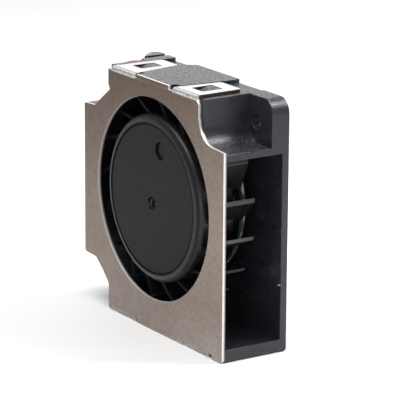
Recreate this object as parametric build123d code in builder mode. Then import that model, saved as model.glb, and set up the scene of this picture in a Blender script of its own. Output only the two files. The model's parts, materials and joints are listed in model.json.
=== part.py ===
from build123d import *
import math
import os

# Small radial blower fan, 51 x 51 x 15 mm.
# Frame of the part: X to the right, Y to the back, Z up, millimetres.
# It stands on its bottom edge, the inlet faces -Y and the outlet faces +X.
# Drawings below use three numbers that a caliper would read off the object:
#   x from the left edge (0..51), d = depth from the front (0..15), z from the bottom (0..51).

# ---------------------------------------------------------------- driving dimensions
FRAME_W = 51.0            # width and height of the frame
FRAME_D = 15.0            # depth of the frame
PLATE_T = 0.75            # sheet steel cover
BACK_IN = 13.55           # depth of the inner face of the back wall
AXIS_X, AXIS_Z = 25.4, 26.9   # rotor axis, from the left edge and from the bottom
INLET_X, INLET_Z, INLET_R = 25.66, 26.92, 20.44

OUTLET_TOP, OUTLET_BOTTOM = 39.86, 2.65
TONGUE_X, TONGUE_Z, TONGUE_R = 43.4, 39.83, 0.8
SCROLL = [(60, 22.15), (90, 22.35), (120, 22.8), (150, 23.5), (180, 24.15),
          (210, 24.3), (240, 24.3), (270, 24.25)]      # angle, radius about the rotor axis

EAR_D = 11.06             # front face of the two mounting ears
EAR_HOLE_R = 1.45
EAR_TR = (45.5, 45.3)
EAR_BL = (5.5, 5.7)
WEB_D = 11.0              # front face of the top-left web

HUB_R = 16.9              # outside of the rotor hub
HUB_IN_R = 15.6
HUB_END = 8.3
BLADES = 17
BLADE_T = 0.7
BLADE_TIP_R = 21.0
BLADE_D0, BLADE_D1 = 1.9, 10.6
BLADE_PHASE = 3.79
BLADE_LEAN = 41.9

SHAFT_R = 1.0
BEARING_BORE_R = 1.03     # running fit of 0.03 mm on the shaft
TUBE_IN_R, TUBE_OUT_R = 2.5, 3.4
CORE_D0, CORE_D1 = 4.7, 7.2
BOARD_R, BOARD_D0, BOARD_D1 = 15.8, 10.5, 11.7

LEAD_D = 1.1              # outside of each lead
LEAD_R = LEAD_D / 2
CHANNEL_U = (-0.7826, 0.6225)   # direction of the lead channel, from the rotor axis
RED_O, BLACK_O = 0.35, -0.95    # sideways places of the two leads in the channel
COIL_C = (4.5, 25.5)           # centre of the put-away coil, x and d
COIL_R = 5.8

DX, DY = -FRAME_W / 2, -FRAME_D / 2
AX = AXIS_X + DX
AZ = AXIS_Z


def P(x, d, z):
    """Point of the part from x, depth and height."""
    return (x + DX, d + DY, z)


def front_plane(d):
    """Seen from the front: local x, y are x, z. Extruding a negative amount goes to the back."""
    return Plane(origin=P(0, d, 0), x_dir=(1, 0, 0), z_dir=(0, -1, 0))


def rotor_plane(d, turn=0.0):
    """The same, about the rotor axis, turned counter-clockwise as seen from the front."""
    a = math.radians(turn)
    return Plane(origin=(AX, d + DY, AZ), x_dir=(math.cos(a), 0, math.sin(a)), z_dir=(0, -1, 0))


def plan_plane(z):
    """Seen from above: local x, y are x, depth."""
    return Plane(origin=P(0, 0, z), x_dir=(1, 0, 0), z_dir=(0, 0, 1))


def side_plane(x):
    """Local x, y are depth, z. Extruding goes to +X."""
    return Plane(origin=P(x, 0, 0), x_dir=(0, 1, 0), z_dir=(1, 0, 0))


def channel_plane(d):
    """About the rotor axis, local x along the lead channel, local y = minus the sideways place."""
    return Plane(origin=(AX, d + DY, AZ), x_dir=(CHANNEL_U[0], 0, CHANNEL_U[1]), z_dir=(0, -1, 0))


TURN_PLANE = Plane(origin=(AX, DY, AZ), x_dir=(1, 0, 0), z_dir=(0, 0, 1))   # radius, depth
ROTOR_AXIS = Axis((AX, 0, AZ), (0, 1, 0))


def nearest(vs, x, y):
    return sorted(vs, key=lambda v: (v.X - x) ** 2 + (v.Y - y) ** 2)[0]


def channel_point(s, o, d):
    """Point at distance s along the channel, o sideways, depth d, as x, d, z."""
    ux, uz = CHANNEL_U
    wx, wz = 0.6225, 0.7826
    return (AXIS_X + s * ux + o * wx, d, AXIS_Z + s * uz + o * wz)


def polar(angle, radius):
    a = math.radians(angle)
    return (AXIS_X + radius * math.cos(a), AXIS_Z + radius * math.sin(a))


os.makedirs("parts", exist_ok=True)
pieces = []


def keep(builder, name):
    builder.part.label = name
    export_step(builder.part, "parts/" + name + ".step")
    pieces.append(name)
    print("%-22s solids %d volume %.1f" % (name, len(builder.part.solids()), builder.part.volume))


# ---------------------------------------------------------------- moulded housing
TR_FILLET = 4.1
with BuildPart() as housing:
    # outer block
    with BuildSketch(front_plane(PLATE_T)):
        with BuildLine():
            Polyline((9.35, 0), (51, 0), (51, 41.2), (43.2, 41.2), (43.2, 51), (9.35, 51), (9.35, 46.6),
                     (9.95, 46.0), (6.9, 43.75), (4.06, 41.55), (0, 41.5), (0, 9.9), (4.3, 9.8),
                     (7.08, 7.6), (9.35, 5.25), close=True)
        make_face()
        fillet(nearest(vertices(), 43.2, 41.2), TR_FILLET)
        fillet(nearest(vertices(), 51, 0), 0.8)
        fillet(nearest(vertices(), 0, 9.9), 0.5)
        fillet(nearest(vertices(), 0, 41.5), 0.5)
    extrude(amount=-(FRAME_D - PLATE_T))

    # two mounting ears, corner to corner
    with BuildSketch(front_plane(EAR_D)):
        with BuildLine():
            Polyline((42.8, 40.8), (51, 40.8), (51, 50.5), (42.8, 50.5), close=True)
        make_face()
        fillet(nearest(vertices(), 51, 50.5), 3.0)
        with BuildLine():
            Polyline((0, 0), (9.8, 0), (9.8, 6.5), (8.0, 8.5), (4.8, 10.3), (0, 10.3), close=True)
        make_face()
        fillet(nearest(vertices(), 0, 0), 3.0)
    extrude(amount=-(FRAME_D - EAR_D))

    # top-left web between the scroll wall and the top strip
    with BuildSketch(front_plane(WEB_D)):
        with BuildLine():
            Polyline((1.6, 41.0), (1.6, 45.0), (4.0, 48.4), (4.0, 50.0), (9.8, 50.0), (10.3, 46.0), (4.6, 41.0),
                     close=True)
        make_face()
        fillet(nearest(vertices(), 1.6, 45.0), 1.2)
        fillet(nearest(vertices(), 4.0, 50.0), 0.4)
    extrude(amount=-(FRAME_D - WEB_D))
    # hook that holds the leads, standing forward of the web
    with BuildSketch(plan_plane(46.5)):
        with BuildLine():
            Polyline((9.8, 8.0), (9.35, 8.4), (8.2, 9.2), (6.9, 10.0), (5.2, 11.7), (4.0, 13.4), (4.4, 14.6),
                     (5.2, 15), (9.8, 15), close=True)
        make_face()
    extrude(amount=4.5)

    # scroll and outlet
    with BuildSketch(front_plane(PLATE_T)):
        with BuildLine():
            start = (TONGUE_X, TONGUE_Z)
            a0 = math.atan2(TONGUE_Z - AXIS_Z, TONGUE_X - AXIS_X)
            scroll = Spline(start, *[polar(a, r) for a, r in SCROLL],
                            tangents=[(-math.sin(a0), math.cos(a0)), (1, 0)])
            Polyline(scroll @ 1, (52, OUTLET_BOTTOM), (52, OUTLET_TOP), start)
        make_face()
        fillet(nearest(vertices(), TONGUE_X, TONGUE_Z), TONGUE_R)
    extrude(amount=-(BACK_IN - PLATE_T), mode=Mode.SUBTRACT)

    # boss that carries the bearing tube, with a blind bore
    with BuildSketch(rotor_plane(BOARD_D1)):
        Circle(4.3)
    extrude(amount=-(BACK_IN - BOARD_D1 + 0.2))
    with BuildSketch(rotor_plane(BOARD_D1)):
        Circle(TUBE_OUT_R)
    extrude(amount=-(14.2 - BOARD_D1), mode=Mode.SUBTRACT)
    # rib inside the back wall, over the lead channel
    with BuildSketch(channel_plane(12.6)) as rib_sketch:
        with Locations((20.2, 0.3)):
            Rectangle(8.6, 4.7)
    extrude(amount=-1.2)

    # seats of the two top tabs of the cover
    with BuildSketch(plan_plane(51)):
        with BuildLine():
            Polyline((10.5, 0), (19.9, 0), (19.9, 2.0), (18.85, 2.0), (17.2, 12.7), (19.5, 15.5), (10.9, 15.5),
                     (10.9, 2.2), (10.5, 1.8), close=True)
        make_face()
        with BuildLine():
            Polyline((31.4, 0), (42.4, 0), (42.4, 15.5), (33.85, 15.5), (33.85, 11.0), (33.0, 2.0), (31.4, 2.0),
                     close=True)
        make_face()
        fillet(nearest(vertices(), 17.2, 12.7), 0.8)
    extrude(amount=-0.75, mode=Mode.SUBTRACT)
    with BuildSketch(plan_plane(51.2)):
        with Locations((42.9, 7.5)):
            Rectangle(1.2, 16)
    extrude(amount=-0.7, mode=Mode.SUBTRACT)
    # seats of the two bottom tabs
    with BuildSketch(plan_plane(0.8)):
        with Locations((14.55, 6.1)):
            Rectangle(10.4, 12.2)
        with Locations((41.9, 6.1)):
            Rectangle(9.2, 12.2)
    extrude(amount=-1.0, mode=Mode.SUBTRACT)
    # ramped catches in the windows of the four tabs
    for x0, x1, d0, floor, rise in ((12.75, 15.75, 4.0, 50.2, 0.75), (35.7, 39.0, 3.05, 50.2, 0.75),
                                    (12.85, 15.85, 4.0, 0.85, -0.8), (40.2, 43.4, 4.0, 0.85, -0.8)):
        with BuildSketch(side_plane(x0)):
            with BuildLine():
                Polyline((d0, floor), (d0 + 3.2, floor + rise), (d0 + 4.3, floor + rise), (d0 + 4.3, floor),
                         close=True)
            make_face()
        extrude(amount=x1 - x0)

    # lead channel: opening beside the circuit board, groove in the back face, two straps over it
    with BuildSketch(channel_plane(12.0)):
        with Locations((17.25, 0.3)):
            Rectangle(2.7, 2.9)
    extrude(amount=-3.2, mode=Mode.SUBTRACT)
    with BuildSketch(channel_plane(13.45)):
        with Locations((21.65, 0.3)):
            Rectangle(11.5, 2.9)
    extrude(amount=-1.8, mode=Mode.SUBTRACT)
    with BuildSketch(channel_plane(14.7)):
        with Locations((21.0, 0.3), (25.0, 0.3)):
            Rectangle(1.1, 3.3)
    extrude(amount=-0.3)
    # the leads leave the web to the front through one long hole
    with BuildSketch(front_plane(WEB_D - 0.5)):
        with Locations((4.55, 43.1)):
            SlotCenterToCenter(1.43, 1.6, rotation=24.8)
    extrude(amount=-3.2, mode=Mode.SUBTRACT)
    # wire slot of the hook, open at the top
    with BuildSketch(front_plane(7.5)):
        with BuildLine():
            Polyline((6.8, 52), (6.8, 47.6), (7.2, 47.2), (7.8, 47.2), (8.25, 47.6), (8.25, 52), close=True)
        make_face()
    extrude(amount=-8.0, mode=Mode.SUBTRACT)
    # screw holes of the ears
    with BuildSketch(front_plane(EAR_D - 0.5)):
        with Locations(EAR_TR, EAR_BL):
            Circle(EAR_HOLE_R)
    extrude(amount=-6.0, mode=Mode.SUBTRACT)
keep(housing, "housing")

# ---------------------------------------------------------------- steel cover with four bent tabs
with BuildPart() as cover_plate:
    with BuildSketch(front_plane(0)):
        with BuildLine():
            Polyline((0, 10.0), (4.3, 9.8), (7.08, 7.6), (9.3, 5.3), (9.3, 0), (19.4, 0), (19.4, 0.9), (20.1, 0.9),
                     (20.1, 0), (37.0, 0), (37.0, 0.9), (37.6, 0.9), (37.6, 0), (46.0, 0), (46.0, 0.9),
                     (47.3, 0.9), (47.3, 0.1), (51, 0.1), (51, 41.7), (47.2, 41.9), (42.2, 46.6), (42.2, 49.3),
                     (41.5, 50.2), (41.5, 51), (33.0, 51), (33.0, 50.2), (31.5, 50.2), (31.5, 51), (19.9, 51),
                     (19.9, 50.2), (18.9, 50.2), (18.9, 51), (10.6, 51), (10.6, 50.2), (9.35, 50.2),
                     (9.35, 47.0), (9.95, 46.1), (6.88, 43.82), (4.06, 41.65), (0, 41.45), close=True)
        make_face()
        with Locations((47.2 + 0.0, 46.75)):
            Circle(4.85, mode=Mode.SUBTRACT)
        fillet(nearest(vertices(), 51, 0.1), 0.7)
        fillet(nearest(vertices(), 0, 10.0), 0.5)
        fillet(nearest(vertices(), 0, 41.45), 0.5)
        with Locations((INLET_X, INLET_Z)):
            Circle(INLET_R, mode=Mode.SUBTRACT)
    extrude(amount=-PLATE_T)
    # tabs, bent back over the housing
    with BuildSketch(plan_plane(50.25)):
        with BuildLine():
            Polyline((10.6, 0.3), (18.9, 0.3), (18.9, 0.75), (18.6, 2.2), (17.03, 11.65), (11.1, 11.65), (10.95, 2.0), (10.6, 1.6),
                     close=True)
        make_face()
        with BuildLine():
            Polyline((33.0, 0.3), (41.5, 0.3), (41.5, 2.0), (41.2, 10.5), (34.3, 10.5), (33.35, 2.0), (33.0, 0.75), close=True)
        make_face()
        for x, d in ((17.03, 11.65), (11.1, 11.65), (41.2, 10.5), (34.3, 10.5)):
            fillet(nearest(vertices(), x, d), 0.7)
        with Locations((14.25, 6.1)):
            RectangleRounded(3.5, 4.8, 0.35, mode=Mode.SUBTRACT)
        with Locations((37.35, 5.15)):
            RectangleRounded(3.9, 4.7, 0.35, mode=Mode.SUBTRACT)
    extrude(amount=0.75)
    with BuildSketch(plan_plane(0)):
        with BuildLine():
            Polyline((9.3, 0.3), (19.4, 0.3), (19.4, 0.75), (19.0, 2.0), (18.0, 11.0), (10.6, 11.0), (9.6, 2.0), (9.3, 0.75), close=True)
        make_face()
        with BuildLine():
            Polyline((37.6, 0.3), (46.0, 0.3), (46.0, 0.75), (45.8, 2.0), (45.0, 11.0), (38.6, 11.0), (37.9, 2.0), (37.6, 0.75), close=True)
        make_face()
        for x, d in ((18.0, 11.0), (10.6, 11.0), (45.0, 11.0), (38.6, 11.0)):
            fillet(nearest(vertices(), x, d), 0.7)
        with Locations((14.35, 6.1)):
            RectangleRounded(3.5, 4.8, 0.35, mode=Mode.SUBTRACT)
        with Locations((41.8, 6.1)):
            RectangleRounded(3.7, 4.8, 0.35, mode=Mode.SUBTRACT)
    extrude(amount=0.75)
    # outside radius of the bends
    bends = [e for e in cover_plate.part.edges().filter_by(Axis.X)
             if abs(e.center().Y - DY) < 1e-4 and e.length > 7.5
             and (abs(e.center().Z - 51) < 1e-4 or abs(e.center().Z) < 1e-4)
             and abs(e.length - 11.6) > 0.2 and abs(e.length - 16.9) > 0.2]
    fillet(bends, 0.68)
keep(cover_plate, "cover_plate")

# ---------------------------------------------------------------- rotor
with BuildPart() as impeller:
    with BuildSketch(TURN_PLANE):
        with BuildLine():
            Polyline((0, 0.17), (14.9, 0.17), (15.15, 0.08), (15.3, 0.08))
            CenterArc((15.3, 1.68), 1.6, -90, 90)
            Polyline((HUB_R, 1.68), (HUB_R, HUB_END), (HUB_IN_R, HUB_END), (HUB_IN_R, 1.3), (0, 1.3), (0, 0.17))
        make_face()
    revolve(axis=ROTOR_AXIS)
    with BuildSketch(rotor_plane(BLADE_D0)):
        with PolarLocations(18.91, BLADES, start_angle=BLADE_PHASE):
            Rectangle(8.0, BLADE_T, rotation=BLADE_LEAN)
        Circle(BLADE_TIP_R, mode=Mode.INTERSECT)
        Circle(16.6, mode=Mode.SUBTRACT)
    extrude(amount=-(BLADE_D1 - BLADE_D0))
    # moulding gate in the middle of the hub face, and a balancing dimple near its edge
    with BuildSketch(rotor_plane(0.1)):
        with Locations((-0.1, -0.9)):
            Circle(1.25)
            Circle(0.75, mode=Mode.SUBTRACT)
    extrude(amount=-0.35, mode=Mode.SUBTRACT)
    with BuildSketch(rotor_plane(0.1)):
        with Locations((-0.1, -0.9)):
            Circle(0.35)
    extrude(amount=-0.3)
    with BuildSketch(rotor_plane(0.1)):
        with Locations((3.1, 10.4)):
            Circle(1.8)
    extrude(amount=-0.5, mode=Mode.SUBTRACT)
keep(impeller, "impeller")

with BuildPart() as rotor_yoke:      # deep-drawn steel cup
    with BuildSketch(TURN_PLANE):
        with BuildLine():
            Polyline((2.0, 1.3), (HUB_IN_R, 1.3), (HUB_IN_R, 8.1), (15.0, 8.1), (15.0, 1.85), (2.0, 1.85), close=True)
        make_face()
    revolve(axis=ROTOR_AXIS)
keep(rotor_yoke, "rotor_yoke")

with BuildPart() as magnet_ring:
    with BuildSketch(rotor_plane(2.3)):
        Circle(15.0)
        Circle(13.5, mode=Mode.SUBTRACT)
    extrude(amount=-5.7)
keep(magnet_ring, "magnet_ring")

with BuildPart() as shaft_boss:      # turned brass bushing riveted in the yoke
    with BuildSketch(TURN_PLANE):
        with BuildLine():
            Polyline((SHAFT_R, 1.3), (2.0, 1.3), (2.0, 1.85), (3.2, 1.85), (3.2, 2.6), (2.9, 2.9), (SHAFT_R, 2.9),
                     close=True)
        make_face()
    revolve(axis=ROTOR_AXIS)
keep(shaft_boss, "shaft_boss")

with BuildPart() as shaft:
    with BuildSketch(TURN_PLANE):
        with BuildLine():
            Polyline((0, 1.3), (SHAFT_R, 1.3), (SHAFT_R, 12.5), (0.75, 12.5), (0.75, 12.9), (SHAFT_R, 12.9),
                     (SHAFT_R, 13.0), (0.8, 13.15), (0, 13.15), close=True)
        make_face()
    revolve(axis=ROTOR_AXIS)
keep(shaft, "shaft")

with BuildPart() as oil_slinger:
    with BuildSketch(rotor_plane(2.95)):
        Circle(2.2)
        Circle(SHAFT_R, mode=Mode.SUBTRACT)
    extrude(amount=-0.25)
keep(oil_slinger, "oil_slinger")

with BuildPart() as retaining_clip:
    with BuildSketch(rotor_plane(12.55)):
        Circle(2.1)
        Circle(0.75, mode=Mode.SUBTRACT)
        with Locations((1.4, 0)):
            Rectangle(1.6, 0.5, mode=Mode.SUBTRACT)
    extrude(amount=-0.3)
keep(retaining_clip, "retaining_clip")

# ---------------------------------------------------------------- bearing and stator
with BuildPart() as bearing_tube:
    with BuildSketch(rotor_plane(3.4)):
        Circle(TUBE_OUT_R)
        Circle(TUBE_IN_R, mode=Mode.SUBTRACT)
    extrude(amount=-(14.2 - 3.4))
keep(bearing_tube, "bearing_tube")

with BuildPart() as sleeve_bearing:
    with BuildSketch(rotor_plane(4.4)):
        Circle(TUBE_IN_R)
        Circle(BEARING_BORE_R, mode=Mode.SUBTRACT)
    extrude(amount=-(12.2 - 4.4))
keep(sleeve_bearing, "sleeve_bearing")

with BuildPart() as oil_seal:
    with BuildSketch(rotor_plane(3.5)):
        Circle(TUBE_IN_R)
        Circle(1.3, mode=Mode.SUBTRACT)
    extrude(amount=-0.4)
keep(oil_seal, "oil_seal")

with BuildPart() as thrust_pad:
    with BuildSketch(rotor_plane(13.25)):
        Circle(TUBE_IN_R)
    extrude(amount=-0.95)
keep(thrust_pad, "thrust_pad")

with BuildPart() as stator_core:     # stack of punched laminations, four poles
    with BuildSketch(rotor_plane(CORE_D0)):
        Circle(13.0)
        Circle(11.4, mode=Mode.SUBTRACT)
        with PolarLocations(0, 4, start_angle=45):
            with BuildLine():
                l1 = Line((0, 0), (16 * math.cos(math.radians(9)), 16 * math.sin(math.radians(9))))
                l2 = Line((0, 0), (16 * math.cos(math.radians(-9)), 16 * math.sin(math.radians(-9))))
                Line(l1 @ 1, l2 @ 1)
            make_face(mode=Mode.SUBTRACT)
        with PolarLocations(8.4, 4):
            Rectangle(6.6, 3.0)
        Circle(5.6)
        Circle(TUBE_OUT_R, mode=Mode.SUBTRACT)
    extrude(amount=-(CORE_D1 - CORE_D0))
keep(stator_core, "stator_core")

# moulded insulators, front and rear: ring on the tube, neck covers, side skirts, outer flanges
for name, ring, neck, flange, skirt in (
        ("insulator_front", (3.4, CORE_D0), (4.05, CORE_D0), (2.7, CORE_D0), (CORE_D0, 5.9)),
        ("insulator_rear", (CORE_D1, 8.6), (CORE_D1, 7.85), (CORE_D1, 9.0), (6.0, CORE_D1))):
    with BuildPart() as insulator:
        with BuildSketch(rotor_plane(ring[0])):
            Circle(6.0)
            Circle(TUBE_OUT_R, mode=Mode.SUBTRACT)
        extrude(amount=-(ring[1] - ring[0]))
        with BuildSketch(rotor_plane(neck[0])):
            with PolarLocations(8.5, 4):
                Rectangle(5.6, 4.2)
        extrude(amount=-(neck[1] - neck[0]))
        with BuildSketch(rotor_plane(flange[0])):
            with PolarLocations(11.25, 4):
                Rectangle(0.7, 9.4)
        extrude(amount=-(flange[1] - flange[0]))
        with BuildSketch(rotor_plane(skirt[0])):
            with PolarLocations(0, 4):
                with Locations((8.45, 1.8), (8.45, -1.8)):
                    Rectangle(5.1, 0.6)
        extrude(amount=-(skirt[1] - skirt[0]))
    keep(insulator, name)

for i, turn in enumerate((0, 90, 180, 270)):
    with BuildPart() as winding:
        # turns of enamelled wire around one pole
        with BuildSketch(Plane(origin=(AX + 6.2 * math.cos(math.radians(turn)), DY, AZ + 6.2 * math.sin(math.radians(turn))),
                               x_dir=(0, 1, 0),
                               z_dir=(math.cos(math.radians(turn)), 0, math.sin(math.radians(turn))))):
            with Locations((5.95, 0)):
                RectangleRounded(5.9, 6.8, 1.0)
                Rectangle(3.9, 4.3, mode=Mode.SUBTRACT)
        extrude(amount=4.6)
    keep(winding, "winding_%d" % (i + 1))

with BuildPart() as circuit_board:
    with BuildSketch(rotor_plane(BOARD_D0)):
        Circle(BOARD_R)
        Circle(3.6, mode=Mode.SUBTRACT)
        with PolarLocations(5.4, 4, start_angle=45):
            Circle(0.45, mode=Mode.SUBTRACT)
    extrude(amount=-(BOARD_D1 - BOARD_D0))
keep(circuit_board, "circuit_board")

with BuildPart() as winding_pins:
    with BuildSketch(rotor_plane(8.6)):
        with PolarLocations(5.4, 4, start_angle=45):
            Rectangle(0.55, 0.55)
    extrude(amount=-(12.3 - 8.6))
keep(winding_pins, "winding_pins")

with BuildPart() as driver_chip:     # driver with a built-in position sensor, under the magnet
    with BuildSketch(rotor_plane(8.9, 45)):
        with Locations((13.6, 0)):
            Rectangle(3.6, 4.2)
    extrude(amount=-1.25)
    with BuildSketch(rotor_plane(10.15, 45)):
        with Locations((11.7, 1.4), (11.7, 0), (11.7, -1.4), (15.35, 0.9), (15.35, -0.9)):
            Rectangle(0.8, 0.45)
    extrude(amount=-0.35)
    with BuildSketch(rotor_plane(10.0, 45)):
        with Locations((13.6, 0)):
            Rectangle(3.2, 3.6)
    extrude(amount=-0.5)
keep(driver_chip, "driver_chip")

with BuildPart() as chip_capacitor:
    with BuildSketch(rotor_plane(9.7, 5)):
        with Locations((13.4, 0)):
            Rectangle(1.3, 2.0)
    extrude(amount=-0.8)
keep(chip_capacitor, "chip_capacitor")

with BuildPart() as chip_resistor:
    with BuildSketch(rotor_plane(10.0, 95)):
        with Locations((13.4, 0)):
            Rectangle(0.9, 1.7)
    extrude(amount=-0.5)
keep(chip_resistor, "chip_resistor")

with BuildPart() as solder_joints:
    for k in range(4):
        a = math.radians(45 + 90 * k)
        cx, cz = AXIS_X + 5.4 * math.cos(a), AXIS_Z + 5.4 * math.sin(a)
        with BuildSketch(Plane(origin=P(cx, BOARD_D1, cz), x_dir=(1, 0, 0), z_dir=(0, 1, 0))):
            Circle(0.95)
        extrude(amount=0.62, taper=38)
    with BuildSketch(rotor_plane(BOARD_D1 - 0.1)):
        with PolarLocations(5.4, 4, start_angle=45):
            Rectangle(0.55, 0.55)
    extrude(amount=-1.5, mode=Mode.SUBTRACT)
    for o in (RED_O, BLACK_O):
        cx, _, cz = channel_point(12.0, o, 0)
        with BuildSketch(Plane(origin=P(cx, BOARD_D1, cz), x_dir=(1, 0, 0), z_dir=(0, 1, 0))):
            Circle(0.6)
        extrude(amount=0.9, taper=12)
keep(solder_joints, "solder_joints")

# ---------------------------------------------------------------- leads
def arc_radii(route):
    """Each arc as large as its two runs allow, and a printed list of them."""
    out = []
    for i in range(1, len(route) - 1):
        a = Vector(*route[i]) - Vector(*route[i - 1])
        b = Vector(*route[i + 1]) - Vector(*route[i])
        turn = math.radians(a.get_angle(b))
        out.append(0.45 * min(a.length, b.length) / math.tan(turn / 2))
    return out


def lead_tube(name, routes, fixed=None):
    with BuildPart() as tube:
        want = 0.0
        for route in routes:
            pts = [P(*p) for p in route]
            radii = fixed or arc_radii(pts)
            print(name, "radii", ", ".join("%.1f" % r for r in radii))
            with BuildLine() as path:
                FilletPolyline(*pts, radius=radii)
            line = path.wires()[0]
            want += line.length * math.pi * LEAD_R ** 2
            first = Vector(*pts[1]) - Vector(*pts[0])
            with BuildSketch(Plane(origin=pts[0], z_dir=first.normalized())):
                Circle(LEAD_R)
            sweep(path=line)
            print(name, "length %.1f" % line.length)
        print(name, "volume %.2f, section times length %.2f" % (tube.part.volume, want))
    keep(tube, name)


RED_EXIT = (5.2, WEB_D, 43.4)
BLACK_EXIT = (3.9, WEB_D, 42.8)
for name, o, end in (("lead_red_inner", RED_O, RED_EXIT), ("lead_black_inner", BLACK_O, BLACK_EXIT)):
    route = [channel_point(12.75, o, 12.45), channel_point(16.0, o, 12.45), channel_point(18.5, o, 14.05),
             (end[0], 14.05, end[2]), end]
    lead_tube(name, [route], [2.2, 2.2, 1.1])

RED_ROUTE = [RED_EXIT, (5.2, 8.2, 43.22), (5.28, 5.2, 43.4), (5.8, 3.2, 44.7), (6.7, 2.42, 46.9),
             (7.6, 3.12, 49.0), (8.08, 5.05, 50.28), (7.95, 7.45, 50.2), (7.7, 9.8, 49.85), (7.5, 12.1, 49.7), (7.5, 14.5, 49.55),
             (7.5, 17.1, 48.7), (7.5, 19.2, 46.3), (7.75, 20.3, 41.3), (8.9, 20.5, 33.5), (10.9, 20.5, 23.6), (12.4, 20.2, 15.2),
             (12.7, 20.0, 9.0), (11.7, 19.85, 4.5), (9.5, 19.8, 1.7), (6.5, 19.7, 0.56)]
BLACK_ROUTE = [BLACK_EXIT, (3.9, 8.5, 42.67), (3.9, 6.05, 42.53), (4.25, 4.15, 43.75), (4.95, 3.45, 45.95),
               (5.85, 4.05, 48.05), (6.6, 5.95, 49.35), (7.1, 8.4, 49.15), (7.45, 10.7, 48.5), (7.5, 13.2, 48.25),
               (7.5, 15.7, 47.8), (7.4, 17.6, 46.1), (7.35, 18.6, 43.2), (7.5, 18.95, 38.8), (8.2, 19.05, 32.4), (9.7, 18.95, 23.9),
               (11.4, 18.75, 16.4), (12.2, 18.85, 11.2), (11.3, 19.15, 6.9), (9.4, 19.5, 4.1), (6.7, 19.7, 2.8)]
RED_TAIL = [(4.5, 31.3, 1.62), (6.6, 31.3, 1.6), (8.7, 30.95, 1.65), (10.7, 30.2, 2.15), (12.48, 30.04, 2.3)]
BLACK_TAIL = [(4.5, 31.3, 3.85), (6.6, 31.35, 3.75), (8.6, 31.9, 3.1), (10.6, 32.55, 2.4), (12.5, 32.56, 2.3)]
lead_tube("lead_red", [RED_ROUTE, RED_TAIL])
lead_tube("lead_black", [BLACK_ROUTE, BLACK_TAIL])

for name, z0, z1 in (("lead_red_coil", 0.0, 2.2), ("lead_black_coil", 2.25, 4.4)):
    with BuildPart() as coil:        # outer shape of one and a half turns
        with BuildSketch(Plane(origin=P(COIL_C[0], COIL_C[1], z0), z_dir=(0, 0, 1))):
            Circle(COIL_R + 0.6)
            Circle(COIL_R - 0.6, mode=Mode.SUBTRACT)
        extrude(amount=z1 - z0)
    keep(coil, name)

# ---------------------------------------------------------------- two-way connector on the leads
PLUG_D, PLUG_Z, PITCH = 31.3, 2.3, 2.5
PLUG_X0, PLUG_X1 = 10.9, 20.5


def plug_plane(x):
    """Looking along the leads: local x, y are depth, z. Extruding goes to +X."""
    return side_plane(x)


with BuildPart() as plug_housing:
    with BuildSketch(plug_plane(PLUG_X0)):
        with Locations((PLUG_D, PLUG_Z)):
            RectangleRounded(7.4, 4.6, 0.3)
    extrude(amount=PLUG_X1 - PLUG_X0)
    with BuildSketch(plug_plane(PLUG_X0 - 0.1)):
        with Locations((PLUG_D - PITCH / 2, PLUG_Z), (PLUG_D + PITCH / 2, PLUG_Z)):
            Rectangle(1.7, 1.9)
    extrude(amount=8.0, mode=Mode.SUBTRACT)
    with BuildSketch(plug_plane(PLUG_X1 - 2.0)):
        with Locations((PLUG_D - PITCH / 2, PLUG_Z), (PLUG_D + PITCH / 2, PLUG_Z)):
            Rectangle(0.9, 0.9)
    extrude(amount=2.5, mode=Mode.SUBTRACT)
    # windows that the spring tongues of the contacts snap into, and two guide ribs
    with BuildSketch(plan_plane(4.7)):
        with Locations((PLUG_X0 + 5.6, PLUG_D - PITCH / 2), (PLUG_X0 + 5.6, PLUG_D + PITCH / 2)):
            Rectangle(1.6, 1.2)
    extrude(amount=-1.6, mode=Mode.SUBTRACT)
    with BuildSketch(plan_plane(4.6)):
        with Locations((PLUG_X0 + 2.0, PLUG_D - 2.9), (PLUG_X0 + 2.0, PLUG_D + 2.9)):
            Rectangle(3.4, 0.7)
    extrude(amount=0.5)
keep(plug_housing, "plug_housing")

for name, d in (("plug_contact_red", PLUG_D - PITCH / 2), ("plug_contact_black", PLUG_D + PITCH / 2)):
    with BuildPart() as contact:
        # square spring box at the mating end, and a crimped barrel behind it
        with BuildSketch(plug_plane(14.7)):
            with Locations((d, PLUG_Z)):
                Rectangle(1.6, 1.8)
                Rectangle(1.2, 1.4, mode=Mode.SUBTRACT)
        extrude(amount=4.0)
        with BuildSketch(plug_plane(12.5)):
            with Locations((d, PLUG_Z)):
                Circle(0.6)
        extrude(amount=2.3)
        with BuildSketch(plug_plane(14.6)):
            with Locations((d, PLUG_Z)):
                Rectangle(1.4, 1.6)
        extrude(amount=0.3)
    keep(contact, name)

print(len(pieces), "pieces")
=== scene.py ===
import json
import math

import bmesh
import bpy
import numpy as np
from mathutils import Matrix, Vector
from mathutils.bvhtree import BVHTree


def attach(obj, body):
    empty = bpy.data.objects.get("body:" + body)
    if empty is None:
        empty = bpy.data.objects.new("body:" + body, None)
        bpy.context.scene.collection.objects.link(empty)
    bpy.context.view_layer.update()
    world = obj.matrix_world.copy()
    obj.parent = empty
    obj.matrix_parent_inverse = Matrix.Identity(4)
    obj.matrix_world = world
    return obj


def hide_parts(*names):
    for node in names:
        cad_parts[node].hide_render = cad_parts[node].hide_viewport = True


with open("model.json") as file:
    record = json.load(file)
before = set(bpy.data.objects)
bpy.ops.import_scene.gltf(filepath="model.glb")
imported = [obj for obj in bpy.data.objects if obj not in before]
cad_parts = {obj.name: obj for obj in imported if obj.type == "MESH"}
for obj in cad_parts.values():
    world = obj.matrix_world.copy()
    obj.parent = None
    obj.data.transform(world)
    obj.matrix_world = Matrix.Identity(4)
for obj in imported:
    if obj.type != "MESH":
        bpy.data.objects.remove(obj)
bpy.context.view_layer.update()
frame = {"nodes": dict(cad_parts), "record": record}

MM = 0.001
NODES = frame["nodes"]
SCENE = bpy.context.scene
BODY = "fan_body"
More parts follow.
